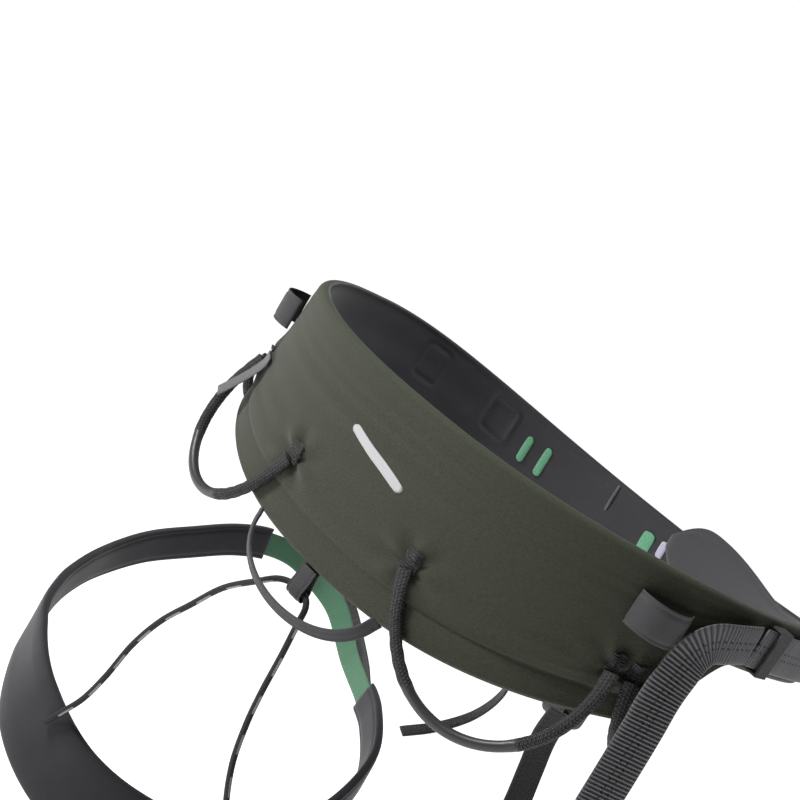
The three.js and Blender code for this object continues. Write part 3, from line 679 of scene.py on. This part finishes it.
# ---------------------------------------------------------------- loops in front
# Tie-in loops and belay loop: stiff doubled webbing, sewn flat.
front_web = webbing_material("loop_webbing", (0.022, 0.022, 0.024), (0.075, 0.074, 0.080), pitch=0.12)
FRONT_FACE = -0.1206
TIE_INS = (("upper_loop_web", "upper_tie_in_loop", 0.019, 0.013, FRONT_FACE - 0.001, -0.0295),
           ("lower_loop_web", "lower_tie_in_loop", 0.024, 0.020, FRONT_FACE + 0.006, -0.128))
for name, node, half, depth, y, z in TIE_INS:
    t = np.linspace(0, np.pi, 260)
    centre = np.stack([-half * signed_power(np.cos(t), 0.8), y - depth * np.sin(t) ** 0.8, 0 * t + z], -1)
    keep = np.concatenate([[True], np.linalg.norm(np.diff(centre, axis=0), axis=1) > 1e-6])
    centre = centre[keep]
    band = strap(name, centre, np.tile(UP, (len(centre), 1)), 0.016, 0.0024, rib=0.0001, pitch=0.0012,
                 stitches=(-0.005, 0.005))
    band.data.materials.append(front_web)
    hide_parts(node)
    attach(band, "waist_belt")

# the belay loop is a stadium: two straight runs joined by half circles
top, bottom, reach = -0.0195 - 0.0044, -0.1413 + 0.0044, 0.0062
turn = np.linspace(0, np.pi, 60)
right_run = np.linspace(bottom, top, 240)
stadium = np.concatenate([
    np.stack([0 * right_run + reach, right_run], -1),
    np.stack([reach * np.cos(turn), top + reach * np.sin(turn)], -1)[1:-1],
    np.stack([0 * right_run - reach, right_run[::-1]], -1),
    np.stack([-reach * np.cos(turn), bottom - reach * np.sin(turn)], -1)[1:]])
centre = np.stack([0 * stadium[:, 0], -0.1342 + stadium[:, 0], stadium[:, 1]], -1)
ACROSS = np.array([1.0, 0, 0])
belay = strap("belay_loop_web", centre, np.tile(ACROSS, (len(centre), 1)), 0.014, 0.0036, rib=0.00012,
              pitch=0.0012, stitches=(-0.0045, 0.0045), closed=True)
belay_web = webbing_material("belay_webbing", (0.022, 0.022, 0.024), (0.075, 0.074, 0.080), pitch=0.12,
                             rows=(-0.45, 0.45))
belay.data.materials.append(belay_web)
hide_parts("belay_loop")
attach(belay, "belay_loop")

# ---------------------------------------------------------------- small tapes
# Haul loop, rear tab, clipper tapes and label tab: smooth satin tape. The
# clipper tapes are stiff bridges that bulge away from the belt.
satin = webbing_material("satin_tape", (0.030, 0.0295, 0.032), (0.046, 0.045, 0.049), pitch=0.06, sheen=0.1)
HAUL_ANGLE = 13.2
ends = [waist(s * HAUL_ANGLE, belt_height(HAUL_ANGLE) + 2.2, -1) for s in (1, -1)]
handles = [end + np.array([side * 8, 12, -29]) / 1000 for end, side in zip(ends, (1, -1))]
path = bezier(ends[0], handles[0], handles[1], ends[1], np.linspace(0, 1, 300))
# its ends run straight on for 4 mm, up behind the belt's lower edge
start = path[0] - path[12]
sewn = np.linspace(4, 0.3, 14)[:, None] / 1000 * start / np.linalg.norm(start)
path = np.concatenate([path[0] + sewn, path, path[-1] + (sewn * (-1, 1, 1))[::-1]])
along_haul = np.gradient(path, axis=0)
along_haul /= np.linalg.norm(along_haul, axis=1, keepdims=True)
haul_wide = np.cross(along_haul, (0, 1.0, 0)) + (0, 0.7, 0)
haul = strap("haul_tape", path, haul_wide, 0.006, 0.0018, rib=0.00006, pitch=0.001, groove=(-0.0014, 0.0014))
haul.data.materials.append(satin)
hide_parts("haul_loop")
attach(haul, "haul_loop")

TAB = np.array([(0, -1.2), (-6, -1.6), (-11, -2.6), (-14, -2.2), (-15.6, 0),
                (-14, 2.2), (-11, 2.6), (-6, 1.6), (0, 1.2)]) / 1000
top_of_tab = waist(0, 91.4, -3)
fold = np.stack([0 * TAB[:, 0], top_of_tab[1] + TAB[:, 1], top_of_tab[2] + TAB[:, 0]], -1)
fold = spline(fold, np.linspace(0, 1, 160))
tab = strap("rear_tab_tape", fold, np.tile(ACROSS, (len(fold), 1)), 0.010, 0.001, rib=0.00005, pitch=0.0012,
            groove=(-0.0038, 0.0038))
tab.data.materials.append(satin)
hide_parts("rear_tab")
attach(tab, "waist_belt")

for sign, word in ((-1, "left"), (1, "right")):
    at = waist(sign * CLIPPER_ANGLE, CLIPPER_DROP, 1.1)
    out = outward(np.array(sign * CLIPPER_ANGLE))
    forth = np.cross(UP, out)
    u = np.linspace(0, 1, 200)
    span, bulge = 0.025 * (u - 0.5), 0.010 * np.sin(np.pi * u) ** 0.6
    centre = at + forth * span[:, None] + out * bulge[:, None]
    keep = np.concatenate([[True], np.linalg.norm(np.diff(centre, axis=0), axis=1) > 1e-6])
    clip = strap(f"clipper_band_{word}", centre[keep], np.tile(UP, (keep.sum(), 1)), 0.0165, 0.0012,
                 groove=(-0.0066, 0.0066))
    clip.data.materials.append(satin)
    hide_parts(f"clipper_tape_{word}")
    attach(clip, "waist_belt")

LABEL = np.array([(15, 1.0), (10, 1.3), (3, 4.2), (-5, 8.8), (-14, 14.5)]) / 1000
LABEL_ANGLE, LABEL_DROP = -46.2, 57
at, out = waist(LABEL_ANGLE, LABEL_DROP, 0), outward(np.array(LABEL_ANGLE))
lean = spline(at + UP * LABEL[:, :1] + out * LABEL[:, 1:], np.linspace(0, 1, 120))
label = strap("label_satin", lean, np.tile(np.cross(UP, out), (len(lean), 1)), 0.017, 0.001,
              groove=(-0.0072, 0.0072))
silver = webbing_material("grey_satin", (0.066, 0.066, 0.069), (0.095, 0.094, 0.099), pitch=0.06, sheen=0.4)
label.data.materials.append(silver)
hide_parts("label_tab")
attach(label, "waist_belt")

# ---------------------------------------------------------------- tongue
# Soft tongue behind the buckle: charcoal fabric, thinner in a line inside its
# upper and lower edges; it stands above the belt and ends in a round tip.


def step(low, high, value):
    """Smooth step from 0 at low to 1 at high."""
    t = np.clip((value - low) / (high - low), 0, 1)
    return t * t * (3 - 2 * t)


TONGUE_FROM, TONGUE_TO = 118, 176
a = np.linspace(TONGUE_FROM, TONGUE_TO, 150)
rounding = 15 * (1 - np.sqrt(np.maximum(0, 1 - step(166, TONGUE_TO, a) ** 2)))
upper = rounding - 12 * step(135, 168, a) + 1
lower = belt_height(a) - 1 - rounding
turn = np.linspace(0, 2 * np.pi, 61)[None, :]
v = 0.5 + 0.5 * signed_power(np.cos(turn), 0.55)
depth = signed_power(np.sin(turn), 0.5)
thin = np.sqrt(np.clip(np.minimum(a - TONGUE_FROM, TONGUE_TO - a) / 1.5, 0.04, 1))[:, None]
belly = 1.85 - 0.5 * np.exp(-((v - 0.06) / 0.03) ** 2) - 0.5 * np.exp(-((v - 0.94) / 0.03) ** 2)
drop = upper[:, None] * v + lower[:, None] * (1 - v)
uv = np.stack(np.broadcast_arrays(a[:, None] * 0.25, drop / 10), -1)
tongue = skin("tongue_pad", waist(a[:, None], drop, -9.05 + depth * belly * thin), uv,
              wrap=(False, True), capped=True)
tongue_cloth, tree, shader = material("tongue_cloth")
chart = tree.nodes.new("ShaderNodeTexCoord")
lint = place(tree, fibre, Vector=chart.outputs["Object"], Size=1200.0)
colour = blend_colours(tree, lint["Fleck"], (0.028, 0.027, 0.032), (0.040, 0.039, 0.045))
tree.links.new(colour, shader.inputs["Base Color"])
tree.links.new(bump(tree, lint["Fleck"], 0.3, 0.0002), shader.inputs["Normal"])
shader.inputs["Roughness"].default_value = 0.75
shader.inputs["Sheen Weight"].default_value = 0.3
tongue.data.materials.append(tongue_cloth)
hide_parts("front_tongue")
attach(tongue, "waist_belt")

# ---------------------------------------------------------------- leg loops
# Each leg loop is a padded charcoal band, wider under the thigh, closed in
# front by green elastic with a longer dark load strap over it.
LEG_RING = np.array([
    (178, -56, -161), (170, -75, -162), (158, -90, -169), (141, -97, -176), (114, -98, -193),
    (89, -90, -198), (66, -79, -201), (34, -54, -212), (13, -10, -232), (10, 38, -248),
    (26, 88, -256), (60, 120, -250), (100, 130, -234), (135, 118, -216), (156, 98, -202),
    (170, 76, -195), (182, 50, -190), (188, 22, -182), (188, -8, -174), (184, -36, -165)]) / 1000
TIE = np.array([(19, -106, -129), (18.5, -106, -146), (24, -103, -164), (34, -93, -181),
                (44, -79, -193)]) / 1000
PAD_FROM, PAD_TO = 0.258, 0.999  # shares of the ring; the elastic has the rest
green_web = webbing_material("green_elastic", (0.036, 0.120, 0.060), (0.095, 0.255, 0.145), pitch=0.1)
dark_web = webbing_material("dark_webbing", (0.016, 0.016, 0.017), (0.055, 0.055, 0.057), pitch=0.12)
for sign, word in ((1, "left"), (-1, "right")):
    body = f"leg_loop_{word}"
    mirror = np.array([sign, 1, 1])
    ring = LEG_RING * mirror
    wide = np.array([sign * 0.12, -0.1, 1.0])
    t = np.linspace(PAD_FROM, PAD_TO, 620)
    centre = spline(ring, t, closed=True)
    width = 19.5 + 20.5 * step(0.4, 0.52, t) * (1 - step(0.6, 0.74, t))
    from_end = np.minimum(t - PAD_FROM, PAD_TO - t)
    ends = np.sqrt(np.clip(1 - np.clip(1 - from_end / 0.010, 0, 1) ** 2, 0.12, 1))
    pad = strap(f"leg_pad_{word}", centre, np.tile(wide, (len(t), 1)), width / 1000, 0.0056 * ends,
                sides=60, groove=(-0.0072, 0.0072))
    pad.data.materials.append(charcoal)
    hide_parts(f"leg_pad_shell_{word}", f"leg_pad_foam_{word}", f"leg_pad_lining_{word}")
    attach(pad, body)

    t = np.linspace(-0.004, 0.262, 320) % 1.0  # its ends are sewn into the pad's
    elastic = strap(f"leg_elastic_web_{word}", spline(ring, t, closed=True), np.tile(wide, (len(t), 1)),
                    0.014, 0.0016, rib=0.00012, pitch=0.001)
    elastic.data.materials.append(green_web)
    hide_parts(f"leg_elastic_{word}")
    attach(elastic, body)

    knots = spline(ring, np.array([0.045, 0.08, 0.115, 0.15, 0.185, 0.22, 0.25]), closed=True)
    away = (knots - np.array([sign * 0.1, 0.005, 0])) * (1, 1, 0)
    away /= np.linalg.norm(away, axis=1, keepdims=True)
    knots = knots + away * (3 + 11 * np.sin(np.pi * np.arange(7) / 6))[:, None] / 1000
    load = strap(f"leg_load_web_{word}", spline(knots, np.linspace(0, 1, 300)), np.tile(wide, (300, 1)),
                 0.012, 0.0014, rib=0.0001, pitch=0.0012, stitches=(-0.004, 0.004))
    load.data.materials.append(dark_web)
    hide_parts(f"leg_load_strap_{word}")
    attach(load, body)

    tie = spline(TIE * mirror, np.linspace(0, 1, 300))
    tie_web = strap(f"leg_tie_web_{word}", tie, np.tile(np.array([sign * -0.6, 0.75, 0]), (300, 1)),
                    0.015, 0.002, rib=0.00012, pitch=0.0012, stitches=(-0.005, 0.005))
    tie_web.data.materials.append(dark_web)
    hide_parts(f"leg_tie_strap_{word}")
    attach(tie_web, body)

# ---------------------------------------------------------------- stitching
# Bar tacks: dense zigzag of bonded black thread with pale flecks, over the
# sewn ends of the racking loops.
thread, tree, shader = material("bonded_thread")
chart = tree.nodes.new("ShaderNodeTexCoord")
lint = place(tree, fibre, Vector=chart.outputs["Object"], Size=1900.0)
spots = maths(tree, "MULTIPLY_ADD", lint["Fleck"], 3.0, -1.9, clamp=True)
colour = blend_colours(tree, spots, (0.014, 0.014, 0.015), (0.20, 0.20, 0.205))
tree.links.new(colour, shader.inputs["Base Color"])
tree.links.new(bump(tree, lint["Fleck"], 0.6, 0.0003), shader.inputs["Normal"])
shader.inputs["Roughness"].default_value = 0.55
TACKS = {"rear_inner": (13.5, 57.0), "front_inner": (53.9, 46.0), "front_outer": (58.4, 46.0)}
for sign, word in ((-1, "left"), (1, "right")):
    for name, (at, drop) in TACKS.items():
        # thread that crosses the patch nineteen times, its height a half wave
        t = np.linspace(0, 1, 700)
        zigzag = np.arcsin(np.sin(2 * np.pi * 9.5 * t)) / (np.pi / 2)
        x, y = 3.6 * zigzag, -4.6 + 9.6 * t
        lift = 0.9 + 0.35 * np.cos(zigzag * np.pi / 2) + 0.15 * np.sin(40 * t)
        stitched = sign * at + x / 2.2
        cloth = np.maximum(0, face_relief(stitched, (drop + y) / belt_height(sign * at)))
        path = waist(stitched, drop + y, lift + cloth)
        tack = tube(f"tack_{name}_{word}", path, 0.00036, sides=8)
        tack.data.materials.append(thread)
        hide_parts(f"bar_tack_{name}_{word}")
        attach(tack, "waist_belt")

# ---------------------------------------------------------------- buckle
# Double-plate buckle of anodised aluminium, brushed along its length, and the
# two elastic keepers that hold the strap down.
metal, tree, shader = material("anodised")
chart = tree.nodes.new("ShaderNodeTexCoord")
grain = tree.nodes.new("ShaderNodeTexNoise")
grain.inputs["Scale"].default_value = 700
drawn = tree.nodes.new("ShaderNodeMapping")
drawn.inputs["Scale"].default_value = (0.08, 1, 1)
tree.links.new(chart.outputs["Object"], drawn.inputs["Vector"])
tree.links.new(drawn.outputs["Vector"], grain.inputs["Vector"])
colour = blend_colours(tree, grain.outputs["Fac"], (0.30, 0.31, 0.33), (0.44, 0.45, 0.47))
tree.links.new(colour, shader.inputs["Base Color"])
tree.links.new(maths(tree, "MULTIPLY_ADD", grain.outputs["Fac"], 0.25, 0.25), shader.inputs["Roughness"])
tree.links.new(bump(tree, grain.outputs["Fac"], 0.15, 0.0001), shader.inputs["Normal"])
shader.inputs["Metallic"].default_value = 1
for node in ("buckle_frame", "buckle_slider"):
    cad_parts[node].data.materials.clear()
    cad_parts[node].data.materials.append(metal)
knit, tree, shader = material("keeper_elastic")
chart = tree.nodes.new("ShaderNodeTexCoord")
lint = place(tree, fibre, Vector=chart.outputs["Object"], Size=1300.0)
wave = maths(tree, "SINE", maths(tree, "MULTIPLY", lint["Fleck"], 6.0))
colour = blend_colours(tree, lint["Fleck"], (0.028, 0.028, 0.030), (0.070, 0.070, 0.074))
tree.links.new(colour, shader.inputs["Base Color"])
tree.links.new(bump(tree, wave, 0.4, 0.0003), shader.inputs["Normal"])
shader.inputs["Roughness"].default_value = 0.75
for node in ("keeper_front", "keeper_side"):
    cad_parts[node].data.materials.clear()
    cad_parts[node].data.materials.append(knit)

# ---------------------------------------------------------------- studio
# Plain pale floor well below the hanging harness, white surroundings and two
# soft lamps; the key lamp stands behind the wearer's left shoulder.
floor_corners = np.stack(np.meshgrid([-30.0, 30.0], [-30.0, 30.0], [-0.75], indexing="ij"), -1)[:, :, 0]
floor = skin("floor", floor_corners, np.zeros((2, 2, 2)))
pale_floor, tree, shader = material("pale_floor")
shader.inputs["Base Color"].default_value = (0.9, 0.9, 0.9, 1)
shader.inputs["Roughness"].default_value = 0.9
shader.inputs["Emission Color"].default_value = (1, 1, 1, 1)
shader.inputs["Emission Strength"].default_value = 0.95
floor.data.materials.append(pale_floor)
world = bpy.data.worlds.new("studio")
bpy.context.scene.world = world
world.use_nodes = True
nodes, links = world.node_tree.nodes, world.node_tree.links
sky, seen = nodes["Background"], nodes.new("ShaderNodeBackground")
sky.inputs["Strength"].default_value = 0.08
seen.inputs["Strength"].default_value = 1.0
sky.inputs["Color"].default_value = seen.inputs["Color"].default_value = (1, 1, 1, 1)
rays, choose = nodes.new("ShaderNodeLightPath"), nodes.new("ShaderNodeMixShader")
links.new(rays.outputs["Is Camera Ray"], choose.inputs[0])
links.new(sky.outputs[0], choose.inputs[1])
links.new(seen.outputs[0], choose.inputs[2])
links.new(choose.outputs[0], nodes["World Output"].inputs["Surface"])
# name, place and width in metres, power in watts
LAMPS = (("key", (1.2, 1.15, 1.35), 0.5, 46), ("front", (0.1, -1.6, 0.9), 1.2, 5))
for name, spot, size, power in LAMPS:
    lamp = bpy.data.objects.new(name, bpy.data.lights.new(name, "AREA"))
    lamp.data.size, lamp.data.energy = size, power
    lamp.location = spot
    lamp.rotation_euler = (Vector((0, 0, -0.06)) - Vector(spot)).to_track_quat("-Z", "Y").to_euler()
    bpy.context.scene.collection.objects.link(lamp)
bpy.context.scene.view_settings.view_transform = "Standard"
